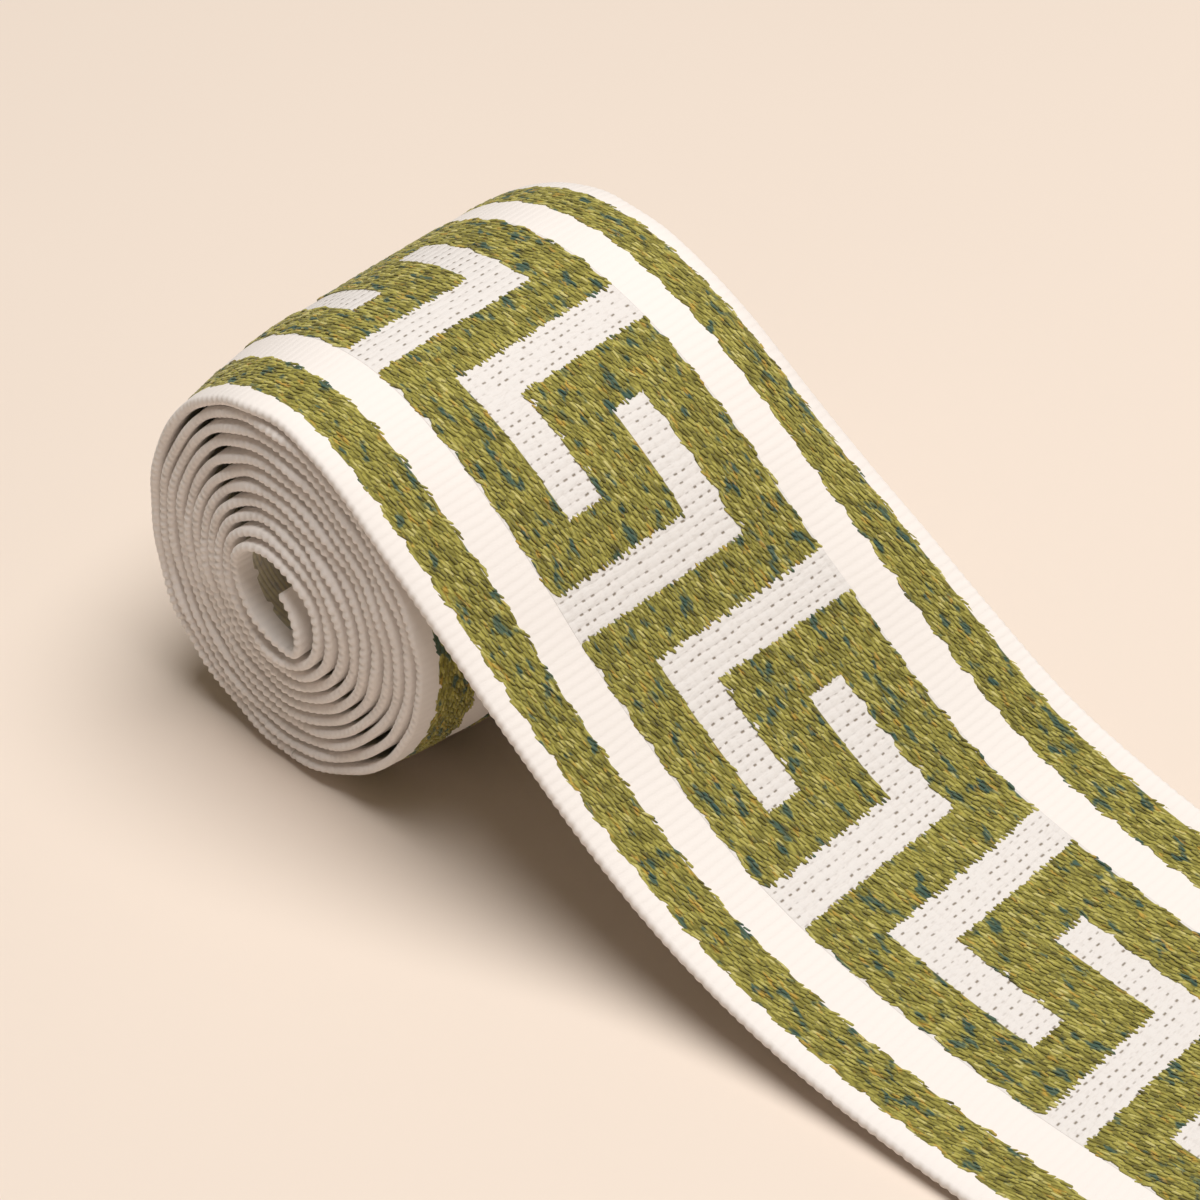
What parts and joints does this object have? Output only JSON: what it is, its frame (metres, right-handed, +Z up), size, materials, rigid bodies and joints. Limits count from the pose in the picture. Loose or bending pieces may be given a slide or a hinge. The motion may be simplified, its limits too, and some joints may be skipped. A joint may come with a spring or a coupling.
{
  "type": "tape trim",
  "caption": "Woven tape trim with a raised key pattern, wound into a roll on its side, the loose end running down in a soft curve and lying flat.",
  "frame": {"origin": "on the surface that the tape lies on, under the middle of the roll's flat spot and at the middle of the tape's width", "axes": "+X from the roll along the loose end, +Y across the tape from the end of the roll that shows its turns, +Z up"},
  "size_m": [0.2353, 0.0685, 0.0586],
  "materials": {
    "woven_tape": "matt woven off-white ground with raised mottled olive green pattern yarn"
  },
  "bodies": {
    "root": {"roll": "woven_tape", "loose_end": "woven_tape"}
  },
  "joints": []
}
